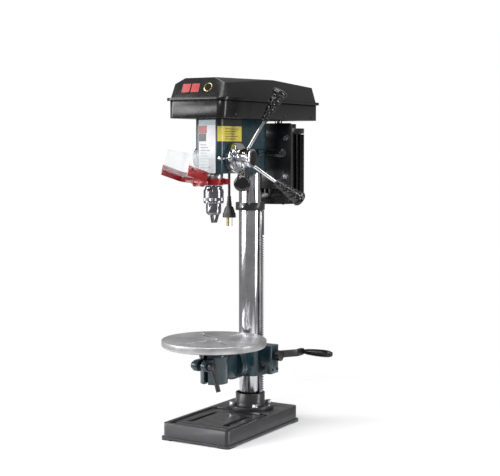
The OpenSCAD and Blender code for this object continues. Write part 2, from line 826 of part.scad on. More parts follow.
// Outline of a belt round two pulleys: radius r0 at y0 and r1 at y1, y0 < y1
function belt_loop(r0, y0, r1, y1, steps = 40) =
    let (lean = asin((r1 - r0) / (y1 - y0)))
    concat(
        [for (i = [0 : steps]) let (a = 180 + lean + (180 - 2 * lean) * i / steps)
            [r0 * cos(a), y0 + r0 * sin(a)]],
        [for (i = [0 : steps]) let (a = -lean + (180 + 2 * lean) * i / steps)
            [r1 * cos(a), y1 + r1 * sin(a)]]);
module belt(r0, y0, r1, y1, level) {
    zc = pulley_z + (level + 0.5) * step_h;
    for (lay = [[1.6, -4.4, 2.5], [1.6, -1.4, 3.3]])
        translate([0, 0, zc - lay[2]]) linear_extrude(2 * lay[2]) difference() {
            polygon(belt_loop(r0 + lay[0], y0, r1 + lay[0], y1));
            polygon(belt_loop(r0 + lay[1], y0, r1 + lay[1], y1));
        }
}
module front_belt() {
    color([0.06, 0.06, 0.07]) belt(pulley_r[1], -throat, pulley_r[2], idler_y, 1);
}
module rear_belt() {
    color([0.06, 0.06, 0.07]) belt(pulley_r[1], idler_y, pulley_r[2], motor_y, 2);
}

// ---- motor ----

motor_z0 = 596;
motor_z1 = 786;

module motor_plate() {
    hw = 83;
    color([0.09, 0.09, 0.10]) {
        difference() {
            union() {
                box(-hw, hw, plate_y, plate_y + 7, 633, 791);
                box(-hw + 8, hw - 8, plate_y, plate_y + 7, 625, 799);
                for (x = [-hw + 8, hw - 8], z = [633, 791]) ycyl(8, plate_y, plate_y + 7, x, z);
            }
            for (x = [-69, 69], z = [659, 760]) ycyl(4.5, plate_y - 1, plate_y + 10, x, z);
        }
        for (x = [-69, 69], z = [659, 760]) translate([x, plate_y, z]) rotate([90, 0, 0])
            cylinder(r = 8, h = 6, $fn = 6);
        for (x = [-69, 69], z = [659, 760]) ycyl(4.4, plate_y - 1, plate_y + 12, x, z);
    }
}

module motor_housing() {
    can_r = 62;
    inner_r = 56;
    fins = 24;
    color([0.07, 0.07, 0.08]) translate([0, motor_y, 0]) difference() {
        union() {
            zcyl(can_r, motor_z0, motor_z1);
            for (k = [0 : fins - 1]) rotate(k * 360 / fins)
                box(can_r - 2, 70, -1.6, 1.6, motor_z0 + 16, motor_z1 - 16);
            zcyl(70, motor_z1 - 14, motor_z1);
            zcyl(70, motor_z0, motor_z0 + 14);
            zcyl(58, motor_z0 - 14, motor_z0 + 1);
            zcyl(48, motor_z1 - 1, motor_z1 + 12);
            box(-45, 45, -71.9, -42, 648, 764);
        }
        zcyl(inner_r, motor_z0 - 8, motor_z1 - 6);
        zcyl(10.05, motor_z0 - 20, motor_z1 + 20);
    }
}

module motor_stator() {
    color([0.60, 0.35, 0.20]) ring(36, 56, 630, 750, 0, motor_y);
}

module motor_rotor() {
    color([0.55, 0.56, 0.58]) {
        zcyl(10, motor_z0 - 12, pulley_z + 4 * step_h + 5, 0, motor_y);
        zcyl(35, 632, 748, 0, motor_y);
        for (k = [0 : 7]) translate([0, motor_y, 0]) rotate(45 * k) box(8, 44, -1.5, 1.5, 600, 616);
        zcyl(44, 598, 601, 0, motor_y);
    }
}

module motor_pulley() {
    color([0.66, 0.67, 0.70]) step_pulley(pulley_r, 10, motor_y);
}

// ---- hood ----

module hood_pan() {
    wall = 3;
    r = 20;
    color([0.07, 0.07, 0.08]) difference() {
        rbox(-hood_hx, hood_hx, hood_y0, hood_y1, head_z1 + 0.4, hood_split, r);
        rbox(-hood_hx + wall, hood_hx - wall, hood_y0 + wall, hood_y1 - wall,
             head_z1 + 3.4, hood_split + 1, r - wall);
        zcyl(20, 800, 830, 0, -throat);
        // opening for the motor's shaft, long enough for the belt's slack
        zcyl(20, 800, 830, 0, motor_y);
        zcyl(20, 800, 830, 0, motor_y - 16);
        box(-20, 20, motor_y - 16, motor_y, 800, 830);
        // step in the rear underside
        box(-90, 90, 111, 240, 800, head_z1 + 1.4);
    }
    // fixed halves of the cover's two hinges
    hinge_z = hood_split + 3.5;
    color([0.30, 0.30, 0.32]) for (y = [-150, 120]) {
        ycyl(4, y - 1.6, y + 16, -94, hinge_z);
        box(-98, -90.2, y - 1.6, y + 16, hinge_z - 22, hinge_z - 3);
        box(-91, -hood_hx + 1, y - 1.6, y + 16, hinge_z - 22, hinge_z - 12);
    }
}

// Cover: a flat lip, sloping front and back, and shoulders along both sides
module hood_cover() {
    wall = 3;
    base_z = hood_split + 0.5;
    module slab(x, y0, y1, z, t, r) {
        for (sx = [-1, 1], y = [y0 + r, y1 - r]) translate([sx * (x - r), y, z])
            cylinder(r = r, h = t, $fn = facet_fn);
    }
    module shape(in) {
        hull() {
            slab(hood_hx - in, hood_y0 + 3 + in, hood_y1 - 2 - in, base_z + 6, 1, 20 - in);
            slab(75 - in, hood_y0 + 20 + in, -200, 890 - in, 1, 8);
            slab(48, hood_y0 + 24 + in, -200, 904 - in, 1, 8);
            slab(70 - in, -16, 4, 907 - in, 1, 6);
            slab(70 - in, 190, hood_y1 - 12 - in, 896 - in, 1, 8);
        }
    }
    color([0.07, 0.07, 0.08]) {
        difference() {
            union() {
                rbox(-hood_hx - lip, hood_hx + lip, hood_y0 - lip, hood_y1 + lip,
                     base_z, base_z + lip_h, 25);
                shape(0);
            }
            shape(wall);
            rbox(-hood_hx + wall, hood_hx - wall, hood_y0 + 6, hood_y1 - 5,
                 base_z - 1, base_z + lip_h + 1, 17);
        }
        for (y = [-150, 120]) {
            box(-93, -88, y - 18, y - 2, base_z + 1, base_z + 5);
            ycyl(4, y - 18, y - 2, -94, base_z + 3);
        }
    }
}

// ---- switch and mains lead ----

module switch_box() {
    color([0.10, 0.10, 0.11]) difference() {
        rbox(-64, -head_hx, -118, -62, 732, 800, 3);
        for (z = [752, 780]) xcyl(9.4, -70, -56, -90, z);
        for (z = [752, 780]) xcyl(3, -60, -48, -90, z);
    }
}
module push_button(z) {
    xcyl(9, -67, -60, -90, z);
    xcyl(2.95, -61, -53, -90, z);
}
module start_button() { color([0.10, 0.55, 0.20]) push_button(780); }
module stop_button() { color([0.75, 0.08, 0.08]) push_button(752); }

// Strain relief on the switch box's rear face
module cord_gland() {
    color([0.08, 0.08, 0.09]) {
        ycyl(7, -62, -54, gland_x, gland_z);
        translate([gland_x, -55, gland_z]) rotate([-90, 0, 0]) cylinder(r1 = 6, r2 = 4.2, h = 23);
    }
}

// Hook on the head's left side that carries the coiled lead
module cord_hook() {
    peg_r = 5;
    peg_z = coil_z + coil_r - cord_d - peg_r - gap;
    color([0.08, 0.08, 0.09]) {
        difference() {
            xcyl(peg_r, -88, -head_boss_r + 4, coil_y, peg_z);
            // its end is shaped to the casting's round side
            zcyl(head_boss_r, peg_z - 20, peg_z + 20);
        }
        xcyl(9, -91, -87, coil_y, peg_z);
    }
}

module cord_coil() {
    half_w = 1.5 * cord_d;
    color([0.06, 0.06, 0.07]) translate([coil_x, coil_y, coil_z]) rotate([0, 90, 0])
        rotate_extrude() polygon([
            [coil_r - cord_d, -half_w], [coil_r + cord_d, -half_w],
            [coil_r + cord_d, half_w], [coil_r - cord_d, half_w]]);
}

module cord_lead() { color([0.06, 0.06, 0.07]) swept_tube(lead_in, cord_d); }
module cord_tail() { color([0.06, 0.06, 0.07]) swept_tube(lead_out, cord_d); }

// Moulded plug with three flat pins, hanging on the lead
module plug() {
    body_z0 = 546;
    body_z1 = 580;
    top_z = 604;
    pin_z = 523;
    color([0.07, 0.07, 0.08]) {
        rbox(plug_x - 19, plug_x + 19, plug_y - 10, plug_y + 10, body_z0, body_z1, 6);
        translate([plug_x, plug_y, body_z1]) cylinder(r1 = 8, r2 = 4.2, h = top_z - body_z1);
    }
    color([0.80, 0.78, 0.70]) translate([plug_x, plug_y, pin_z]) {
        for (s = [-1, 1]) translate([s * 7, 3, 0]) rotate(s * 30)
            box(-0.8, 0.8, -3.2, 3.2, 0, body_z0 - pin_z + 1);
        box(-0.8, 0.8, -8, -2, 0, body_z0 - pin_z + 1);
    }
}

base_casting();
column_flange();
flange_bolts();
column();
rack_collar();
rack();
table_bracket();
tilt_bolt();
bracket_lock_lever();
lift_gear();
lift_worm();
crank_arm();
crank_grip();
table_arm();
table_top();
table_stem();
table_lock_lever();
head_casting();
motor_bars();
tension_knob();
spring_cover();
return_spring();
feed_shaft();
feed_hub();
feed_spokes();
feed_grips();
depth_ring();
quill();
quill_bearing();
spindle();
chuck_body();
chuck_sleeve();
jaw_1();
jaw_2();
jaw_3();
guard_clamp();
guard_frame();
guard_shield();
pulley_bearing();
spindle_pulley();
idler_post();
idler_pulley();
front_belt();
rear_belt();
motor_plate();
motor_housing();
motor_stator();
motor_rotor();
motor_pulley();
hood_pan();
hood_cover();
switch_box();
start_button();
stop_button();
cord_gland();
cord_hook();
cord_lead();
cord_coil();
cord_tail();
plug();
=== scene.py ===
import json
import math

import bmesh
import bpy
from mathutils import Matrix, Vector


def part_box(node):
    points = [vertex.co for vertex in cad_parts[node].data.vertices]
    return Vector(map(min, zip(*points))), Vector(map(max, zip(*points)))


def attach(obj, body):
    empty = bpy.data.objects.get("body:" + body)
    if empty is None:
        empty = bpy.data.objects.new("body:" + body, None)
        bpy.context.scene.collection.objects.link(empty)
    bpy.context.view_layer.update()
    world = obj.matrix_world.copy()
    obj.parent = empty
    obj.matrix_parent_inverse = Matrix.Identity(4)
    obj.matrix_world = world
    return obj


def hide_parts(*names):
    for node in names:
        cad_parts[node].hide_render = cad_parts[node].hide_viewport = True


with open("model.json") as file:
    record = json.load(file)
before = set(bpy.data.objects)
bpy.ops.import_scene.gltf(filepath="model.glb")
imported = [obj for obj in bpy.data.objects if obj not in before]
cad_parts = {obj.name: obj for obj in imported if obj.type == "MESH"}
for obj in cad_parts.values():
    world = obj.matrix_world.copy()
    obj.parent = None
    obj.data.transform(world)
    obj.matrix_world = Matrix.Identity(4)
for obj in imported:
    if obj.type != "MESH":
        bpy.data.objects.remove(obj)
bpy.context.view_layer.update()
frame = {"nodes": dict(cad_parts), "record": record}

MM = 0.001
NODES = frame["nodes"]
SPINDLE = Vector((0, -0.178, 0))
MOTOR = Vector((0, 0.150, 0))
FEED = Vector((0, -0.153, 0.708))


# ---- camera ----

# fitted to the photo's view: focal length and sensor in mm, place in m, angles in degrees
CAMERA_LENS, CAMERA_SENSOR = 85.1, 36
CAMERA_AT = (1.6038, -2.6704, 0.7368)
CAMERA_AZIMUTH, CAMERA_DOWN = 31, 4.42


def add_camera():
    data = bpy.data.cameras.new("camera")
    data.sensor_width = CAMERA_SENSOR
    data.lens = CAMERA_LENS
    camera = bpy.data.objects.new("camera", data)
    bpy.context.scene.collection.objects.link(camera)
    camera.location = CAMERA_AT
    camera.rotation_euler = (math.radians(90 - CAMERA_DOWN), 0, math.radians(CAMERA_AZIMUTH))
    bpy.context.scene.camera = camera


add_camera()


# ---- materials ----

def srgb(red, green, blue):
    """A colour seen as 0-255 values, as the shader wants it."""
    linear = (((v / 255 + 0.055) / 1.055) ** 2.4 if v > 10 else v / 3295 for v in (red, green, blue))
    return tuple(linear) + (1,)


def scaled(colour, factor):
    return tuple(min(1, c * factor) for c in colour[:3]) + (1,)


class Look:
    """One procedural material: a Principled shader with patterns in its colour, roughness and bump."""

    def __init__(self, name, metallic=0.0, **sockets):
        self.material = bpy.data.materials.new(name)
        self.material.use_nodes = True
        self.tree = self.material.node_tree
        self.shader = self.tree.nodes["Principled BSDF"]
        self.shader.inputs["Metallic"].default_value = metallic
        for socket, value in sockets.items():
            self.shader.inputs[socket.replace("_", " ")].default_value = value
        self.coords = self.tree.nodes.new("ShaderNodeTexCoord").outputs["Object"]

    def node(self, kind, **settings):
        made = self.tree.nodes.new(kind)
        for key, value in settings.items():
            if key in made.inputs:
                made.inputs[key].default_value = value
            else:
                setattr(made, key, value)
        return made

    def mapped(self, scale=(1, 1, 1), origin=(0, 0, 0)):
        moved = self.node("ShaderNodeMapping")
        moved.inputs["Scale"].default_value = scale
        moved.inputs["Location"].default_value = [-o * s for o, s in zip(origin, scale)]
        self.tree.links.new(self.coords, moved.inputs["Vector"])
        return moved.outputs["Vector"]

    def noise(self, scale, detail=4, stretch=(1, 1, 1)):
        made = self.node("ShaderNodeTexNoise", Scale=scale, Detail=detail)
        self.tree.links.new(self.mapped(stretch), made.inputs["Vector"])
        return made.outputs["Fac"]

    def cells(self, scale):
        """Round dots, as on a moulded grip."""
        made = self.node("ShaderNodeTexVoronoi", Scale=scale, Randomness=0.35)
        self.tree.links.new(self.coords, made.inputs["Vector"])
        return made.outputs["Distance"]

    def rings(self, period, origin, direction="Z"):
        """Turning marks round an axis, one ring every period metres."""
        made = self.node("ShaderNodeTexWave", wave_type="RINGS", rings_direction=direction)
        made.inputs["Scale"].default_value = 2 * math.pi / (20 * period)
        made.inputs["Distortion"].default_value = 0.6
        self.tree.links.new(self.mapped(origin=origin), made.inputs["Vector"])
        return made.outputs["Fac"]

    def colour(self, pattern, low, high, start=0.35, end=0.65):
        ramp = self.node("ShaderNodeValToRGB")
        ramp.color_ramp.elements[0].position = start
        ramp.color_ramp.elements[0].color = low
        ramp.color_ramp.elements[1].position = end
        ramp.color_ramp.elements[1].color = high
        self.tree.links.new(pattern, ramp.inputs["Fac"])
        self.tree.links.new(ramp.outputs["Color"], self.shader.inputs["Base Color"])
        return self

    def rough(self, pattern, low, high):
        spread = self.node("ShaderNodeMapRange")
        spread.inputs["From Min"].default_value = 0.3
        spread.inputs["From Max"].default_value = 0.7
        spread.inputs["To Min"].default_value = low
        spread.inputs["To Max"].default_value = high
        self.tree.links.new(pattern, spread.inputs["Value"])
        self.tree.links.new(spread.outputs["Result"], self.shader.inputs["Roughness"])
        return self

    def bump(self, pattern, depth, strength=1.0):
        """Adds relief of about depth metres to what the shader has already."""
        relief = self.node("ShaderNodeBump", Strength=strength, Distance=depth)
        self.tree.links.new(pattern, relief.inputs["Height"])
        before = self.shader.inputs["Normal"].links
        if before:
            self.tree.links.new(before[0].from_socket, relief.inputs["Normal"])
        self.tree.links.new(relief.outputs["Normal"], self.shader.inputs["Normal"])
        return self


def enamel(name, colour, rough=(0.22, 0.36), grain=0.00035):
    """Enamel on a sand casting: a soft orange-peel surface with a little dust in its hollows."""
    look = Look(name, Coat_Weight=0.35, Coat_Roughness=0.12)
    look.colour(look.noise(28, 6), scaled(colour, 0.82), scaled(colour, 1.22))
    look.rough(look.noise(60, 5), *rough)
    look.bump(look.noise(420, 3), grain, 0.28)
    return look.bump(look.noise(70, 2), grain * 3, 0.12)


def steel(name, colour, rough=(0.14, 0.26), stretch=(1, 1, 18), scale=60, depth=0.00004):
    """Machined steel with fine marks along its cut and a few oil stains."""
    look = Look(name, metallic=1.0)
    look.colour(look.noise(22, 5), scaled(colour, 0.80), scaled(colour, 1.08))
    look.rough(look.noise(scale, 4, stretch), *rough)
    return look.bump(look.noise(scale * 3, 3, stretch), depth, 0.35)


def plastic(name, colour, rough=(0.24, 0.34), grain=0.00010, scale=900, coat=0.0):
    """Moulded plastic with a fine spark-eroded grain."""
    look = Look(name, Coat_Weight=coat, Coat_Roughness=0.1)
    look.colour(look.noise(16, 4), scaled(colour, 0.85), scaled(colour, 1.25))
    look.rough(look.noise(45, 4), *rough)
    return look.bump(look.noise(scale, 2), grain, 0.35)


def machined_table(name):
    look = Look(name, metallic=0.85)
    look.colour(look.noise(14, 7), srgb(150, 149, 151), srgb(205, 204, 206), 0.3, 0.7)
    look.rough(look.noise(90, 5), 0.34, 0.50)
    look.bump(look.rings(0.0011, SPINDLE), 0.00005, 0.4)
    return look.bump(look.noise(500, 3), 0.00005, 0.3)


def dimpled(name):
    look = Look(name, Coat_Weight=0.3, Coat_Roughness=0.15)
    look.colour(look.noise(30, 4), srgb(10, 10, 11), srgb(20, 20, 22))
    look.rough(look.noise(120, 3), 0.12, 0.22)
    return look.bump(look.cells(900), 0.0001, 0.5)


def clear_sheet(name):
    """Thin clear sheet: mostly see-through, with its surface gloss and a few scuffs."""
    look = Look(name, Alpha=0.20)
    look.colour(look.noise(9, 3), srgb(214, 224, 228), srgb(244, 248, 250))
    look.rough(look.noise(60, 4), 0.04, 0.14)
    return look.bump(look.noise(12, 2), 0.0004, 0.15)


def printed(name, colour, coat=0.4):
    """Printed foil on a label, with faint handling marks."""
    look = Look(name, Coat_Weight=coat, Coat_Roughness=0.15)
    look.colour(look.noise(70, 5), scaled(colour, 0.90), scaled(colour, 1.05))
    look.rough(look.noise(120, 4), 0.30, 0.45)
    return look.bump(look.noise(300, 2), 0.00003, 0.3)


LOOKS = {
    "black_iron": enamel("black_enamel_on_iron", srgb(40, 39, 42), (0.30, 0.46), 0.0005),
    "teal_iron": enamel("teal_enamel_on_iron", srgb(20, 47, 56), (0.24, 0.38), 0.0004),
    "machined_iron": machined_table("turned_cast_iron"),
    "polished_steel": steel("polished_column_steel", srgb(205, 205, 208), (0.10, 0.20),
                            (1, 1, 0.05), 240, 0.00002),
    "rack_steel": steel("milled_rack_steel", srgb(150, 150, 153), (0.26, 0.40), (1, 1, 3), 120),
    "gear_steel": steel("oiled_gear_steel", srgb(158, 157, 156), (0.22, 0.36), (1, 1, 4), 90),
    "black_steel": enamel("satin_black_steel", srgb(24, 24, 26), (0.30, 0.42), 0.0002),
    "zinc": steel("bright_zinc", srgb(200, 201, 205), (0.18, 0.30), (1, 1, 1), 120),
    "chrome": steel("chrome_plate", srgb(218, 219, 222), (0.05, 0.12), (1, 1, 1), 50, 0.00001),
    "chuck_steel": steel("hardened_chuck_steel", srgb(142, 142, 146), (0.10, 0.20), (1, 1, 12), 50, 0.00001),
    "black_plastic": plastic("moulded_black_plastic", srgb(14, 13, 15), (0.20, 0.30), 0.00006, 500, 0.0),
    "grip_plastic": dimpled("dimpled_grip_plastic"),
    "red_plastic": plastic("moulded_red_plastic", srgb(140, 10, 20), (0.24, 0.34), 0.00006, 900, 0.2),
    "green_plastic": plastic("moulded_green_plastic", srgb(30, 140, 62), (0.25, 0.36)),
    "clear_sheet": clear_sheet("clear_polycarbonate"),
    "aluminium": steel("die_cast_aluminium", srgb(188, 189, 193), (0.28, 0.42), (1, 1, 6), 100),
    "belt_rubber": plastic("fabric_faced_rubber", srgb(24, 24, 24), (0.62, 0.80), 0.0003, 1200),
    "lead_rubber": plastic("lead_jacket_rubber", srgb(16, 16, 18), (0.34, 0.46), 0.00008, 500),
    "copper": steel("varnished_copper_windings", srgb(186, 104, 52), (0.25, 0.40), (1, 1, 40), 160, 0.0003),
    "spring_steel": steel("blued_spring_steel", srgb(78, 86, 112), (0.24, 0.34), (1, 1, 1), 80),
}
PRINT_WHITE = printed("label_white", srgb(206, 206, 210))
PRINT_RED = printed("label_red", srgb(156, 12, 20))
PRINT_DARK = printed("label_dark", srgb(18, 17, 20))
PRINT_GREY = printed("label_grey", srgb(150, 148, 152))
PRINT_BLUE = printed("label_blue", srgb(150, 170, 178))
PRINT_YELLOW = printed("label_yellow", srgb(226, 208, 84))
BRASS_PINS = steel("plug_pin_brass", srgb(214, 190, 130), (0.18, 0.28))
# painted shade: a near-black matte finish laid on thin plates where holes and slots stand, in place of the shade in
# their depth
PAINTED_HOLE_SHADE = plastic("painted_hole_shade", srgb(12, 12, 13), (0.60, 0.75))
SLOT_OF = {row["node"]: row["material_slot"] for row in frame["record"]["subparts"]}


# ---- mesh helpers ----

def place(name, mesh, body, slot, look=None, replaces=()):
    """A new piece that rides on a body, with its slot's look unless another is given."""
    piece = bpy.data.objects.new(name, mesh)
    bpy.context.scene.collection.objects.link(piece)
    mesh.materials.clear()
    mesh.materials.append((look or LOOKS[slot]).material)
    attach(piece, body)
    if replaces:
        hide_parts(*replaces)
    return piece


def rounded(piece, width, segments=2, angle=30):
    """Rounds a piece's sharp edges, and shades it smooth between them."""
    for polygon in piece.data.polygons:
        polygon.use_smooth = True
    bevel = piece.modifiers.new("edges", "BEVEL")
    bevel.width = width * MM
    bevel.segments = segments
    bevel.limit_method = "ANGLE"
    bevel.angle_limit = math.radians(angle)
    bevel.harden_normals = True
    bevel.use_clamp_overlap = True
    return piece


def mesh_of(bm, name):
    mesh = bpy.data.meshes.new(name)
    bm.to_mesh(mesh)
    bm.free()
    return mesh


def cleaned(node):
    """A CAD node's mesh with its triangles merged into clean faces."""
    bm = bmesh.new()
    bm.from_mesh(NODES[node].data)
    bmesh.ops.remove_doubles(bm, verts=bm.verts, dist=2e-6)
    bmesh.ops.dissolve_limit(bm, angle_limit=math.radians(0.6), verts=bm.verts, edges=bm.edges)
    return bm


def softened(node, body, width=0.8, segments=2, angle=30):
    """A CAD node's own shape with rounded edges, which stands for the node."""
    piece = place(node + "_finished", mesh_of(cleaned(node), node), body, SLOT_OF[node], replaces=(node,))
    return rounded(piece, width, segments, angle)


def axis_matrix(axis, at):
    """Turns +Z to the axis and moves the origin to a point, both in the row frame."""
    turn = Vector((0, 0, 1)).rotation_difference(Vector(axis)).to_matrix().to_4x4()
    return Matrix.Translation(Vector(at)) @ turn


def lathed(profile, steps=48, ripple=None):
    """A solid of revolution about +Z from (radius, height) pairs in millimetres."""
    bm = bmesh.new()
    rows = []
    for r, z in profile:
        row = []
        for k in range(steps):
            a = 2 * math.pi * k / steps
            radius = r + (ripple(k, r, z) if ripple else 0)
            row.append(bm.verts.new((radius * MM * math.cos(a), radius * MM * math.sin(a), z * MM)))
        rows.append(row)
    for low, high in zip(rows, rows[1:]):
        for k in range(steps):
            n = (k + 1) % steps
            bm.faces.new((low[k], low[n], high[n], high[k]))
    bm.faces.new(list(reversed(rows[0])))
    bm.faces.new(rows[-1])
    return bm


def panel(low, high, corner=0.0, axis="Y"):
    """A thin plate between two corners in millimetres, its outline rounded across the given axis."""
    ax = "XYZ".index(axis)
    u, v = [i for i in range(3) if i != ax]
    bm = bmesh.new()
    rows = []
    for level in (low[ax], high[ax]):
        row = []
        for cu, cv, start in ((high[u], high[v], 0), (low[u], high[v], 90),
                              (low[u], low[v], 180), (high[u], low[v], 270)):
            iu = cu - corner if cu == high[u] else cu + corner
            iv = cv - corner if cv == high[v] else cv + corner
            for k in range(5 if corner else 1):
                a = math.radians(start + 90 * k / 4)
                point = [0, 0, 0]
                point[u] = (iu + corner * math.cos(a)) * MM
                point[v] = (iv + corner * math.sin(a)) * MM
                point[ax] = level * MM
                row.append(bm.verts.new(point))
        rows.append(row)
    count = len(rows[0])
    for k in range(count):
        n = (k + 1) % count
        bm.faces.new((rows[0][k], rows[0][n], rows[1][n], rows[1][k]))
    bm.faces.new(list(reversed(rows[0])))
    bm.faces.new(rows[1])
    bmesh.ops.recalc_face_normals(bm, faces=bm.faces)
    return bm


def merged(parts):
    """Several meshes in one."""
    whole = bmesh.new()
    for part in parts:
        mesh = mesh_of(part, "part")
        whole.from_mesh(mesh)
        bpy.data.meshes.remove(mesh)
    return whole


def moved(bm, matrix):
    bmesh.ops.transform(bm, matrix=matrix, verts=bm.verts)
    return bm


def screw_head(r, height, kind="cross"):
    """A screw's head, its underside at Z = 0, with its drive cut in."""
    crown = [(r, 0), (r, height * 0.35), (r * 0.92, height * 0.7),
             (r * 0.7, height * 0.93), (r * 0.42, height)]
    if kind == "socket":
        crown = [(r, 0), (r, height * 0.85), (r * 0.9, height), (r * 0.5, height)]
    sides = 6 if kind == "socket" else 4
    floor = [(r * 0.42, height * 0.3)] if kind == "socket" else [(r * 0.3, height * 0.5)]
    bm = lathed(crown, 24)
    top = [f for f in bm.faces if all(abs(v.co.z - crown[-1][1] * MM) < 1e-7 for v in f.verts)]
    if top:
        inset = bmesh.ops.extrude_face_region(bm, geom=top)
        verts = [g for g in inset["geom"] if isinstance(g, bmesh.types.BMVert)]
        for v in verts:
            a = math.atan2(v.co.y, v.co.x)
            flat = math.cos(math.pi / sides) / math.cos((a % (2 * math.pi / sides)) - math.pi / sides)
            v.co.x = floor[0][0] * MM * flat * math.cos(a)
            v.co.y = floor[0][0] * MM * flat * math.sin(a)
            v.co.z = floor[0][1] * MM
        bmesh.ops.delete(bm, geom=[f for f in top if f.is_valid], context="FACES_ONLY")
    return bm


def screws(name, body, slot, at, axis, r=3.0, height=2.0, kind="cross", look=None):
    """A set of equal screws whose heads stand on the given points, in millimetres."""
    parts = [moved(screw_head(r, height, kind), axis_matrix(axis, Vector(p) * MM)) for p in at]
    piece = place(name, mesh_of(merged(parts), name), body, slot, look)
    for polygon in piece.data.polygons:
        polygon.use_smooth = len(polygon.vertices) < 5
    return piece


# ---- mains lead ----

CORD = 7.0
PLUG_AT = (-86, 33)
COIL = Vector((-71.5, -5, 719))
OUTER, INNER = 43.5, 36.5
LEAD_IN = [(-57, -32, 762.5), (-57, -28.5, 762.5), (-57.8, -24, 762.5), (-61.5, -14, 762.5), (-64, -7, 762.5)]
LEAD_OUT = [
    (-84.8, 30.9, 725.3), (-85.5, 31.5, 719), (-85.8, 31.9, 712), (-86, 32.3, 704), (-86, 32.7, 694),
    (-86, 33, 682), (-86, 33, 668), (-86, 33, 654), (-86, 33, 640), (-86, 33, 620), (-86, 33, 604)]
# where the coil steps sideways or between its layers: start and end in degrees, and the place it steps to
COIL_STEPS = [
    (300, 350, -64.5, INNER), (600, 650, -71.5, INNER), (900, 950, -71.5, OUTER),
    (1200, 1250, -78.5, OUTER), (1500, 1550, -78.5, INNER), (1836, 1872, -82.5, INNER)]


def coil_points():
    """The coil's turns, counted in degrees from its top over +Y."""
    points = []
    for turn in range(6, 1872, 12):
        x, r = -64.5, OUTER
        for start, end, next_x, next_r in COIL_STEPS:
            share = min(1, max(0, (turn - start) / (end - start)))
            share = share * share * (3 - 2 * share)
            x += (next_x - x) * share
            r += (next_r - r) * share
        a = math.radians(turn)
        points.append((x, COIL.y + r * math.sin(a), COIL.z + r * math.cos(a)))
    return points


def add_lead():
    points = [Vector(p) * MM for p in LEAD_IN + coil_points() + LEAD_OUT]
    curve = bpy.data.curves.new("mains_lead", "CURVE")
    curve.dimensions = "3D"
    curve.bevel_depth = CORD / 2 * MM
    curve.bevel_resolution = 4
    curve.use_fill_caps = True
    spline = curve.splines.new("POLY")
    spline.points.add(len(points) - 1)
    for made, point in zip(spline.points, points):
        made.co = (*point, 1)
    curve.materials.append(LOOKS["lead_rubber"].material)
    spline.use_smooth = True
    lead = bpy.data.objects.new("mains_lead", curve)
    bpy.context.scene.collection.objects.link(lead)
    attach(lead, "head")
    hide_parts("cord_lead", "cord_coil", "cord_tail")
    length = sum((b - a).length for a, b in zip(points, points[1:]))
    return lead, points[0], length


def add_plug():
    """A moulded plug that widens towards its pins, with a ribbed relief and brass pins."""
    bm = bmesh.new()
    sections = [(604, 4.2, 4.2)]
    for k in range(5):
        z = 600 - 4.6 * k
        sections += [(z, 5.0 + 0.5 * k, 5.0 + 0.5 * k), (z - 2.0, 5.0 + 0.5 * k, 5.0 + 0.5 * k),
                     (z - 2.3, 4.0 + 0.5 * k, 4.0 + 0.5 * k), (z - 4.2, 4.2 + 0.5 * k, 4.2 + 0.5 * k)]
    sections += [(576, 8.5, 7.5), (572, 12, 8.5), (565, 14.5, 9.5), (560, 15.5, 10), (557, 18.6, 10),
                 (547, 19, 10),
                 (546, 18.2, 9.2)]
    rows = []
    steps = 40
    for z, wide, deep in sections:
        row = []
        for k in range(steps):
            a = 2 * math.pi * k / steps
            c, s = math.cos(a), math.sin(a)
            x = wide * math.copysign(abs(c) ** 0.7, c)
            y = deep * math.copysign(abs(s) ** 0.7, s)
            row.append(bm.verts.new(((PLUG_AT[0] + x) * MM, (PLUG_AT[1] + y) * MM, z * MM)))
        rows.append(row)
    for high, low in zip(rows, rows[1:]):
        for k in range(steps):
            n = (k + 1) % steps
            bm.faces.new((low[k], low[n], high[n], high[k]))
    bm.faces.new(rows[0])
    bm.faces.new(list(reversed(rows[-1])))
    body = place("plug_finished", mesh_of(bm, "plug"), "head", "lead_rubber", replaces=("plug",))
    pins = []
    for x, y, turn in ((7, 3, 30), (-7, 3, -30), (0, -5, 0)):
        pin = panel((-3.2, -0.8, -23), (3.2, 0.8, 1), axis="Z")
        at = Matrix.Translation(((PLUG_AT[0] + x) * MM, (PLUG_AT[1] + y) * MM, 0.546))
        pins.append(moved(pin, at @ Matrix.Rotation(math.radians(90 + turn), 4, "Z")))
    blades = rounded(
        place("plug_pins", mesh_of(merged(pins), "plug_pins"), "head", "lead_rubber", BRASS_PINS), 0.3)
    return rounded(body, 0.4), blades


def add_tie():
    """The strap that holds the coil's turns together, on the side away from the hook."""
    points = []
    half_x, half_r = 11.9, 8.4
    for k in range(32):
        a = 2 * math.pi * k / 32
        c, s = math.cos(a), math.sin(a)
        points.append((half_x * math.copysign(abs(c) ** 0.45, c), half_r * math.copysign(abs(s) ** 0.45, s)))
    bm = bmesh.new()
    rows = []
    for y, grow in ((-4, 0), (-3.4, 0.7), (3.4, 0.7), (4, 0)):
        rows.append([bm.verts.new(((COIL.x - 1 + x * (1 + grow / half_x)) * MM, (COIL.y + y) * MM,
                                   (COIL.z - 40 + z * (1 + grow / half_r)) * MM)) for x, z in points])
    for low, high in zip(rows, rows[1:]):
        for k in range(32):
            bm.faces.new((low[k], low[(k + 1) % 32], high[(k + 1) % 32], high[k]))
    piece = place("lead_tie", mesh_of(bm, "lead_tie"), "head", "lead_rubber")
    thick = piece.modifiers.new("thickness", "SOLIDIFY")
    thick.thickness = 0.8 * MM
    return piece


lead, lead_exit, lead_length = add_lead()
plug, plug_pins = add_plug()
tie = add_tie()


# ---- the CAD nodes, finished ----

for node, piece in NODES.items():
    piece.data.materials.clear()
    piece.data.materials.append(LOOKS[SLOT_OF[node]].material)

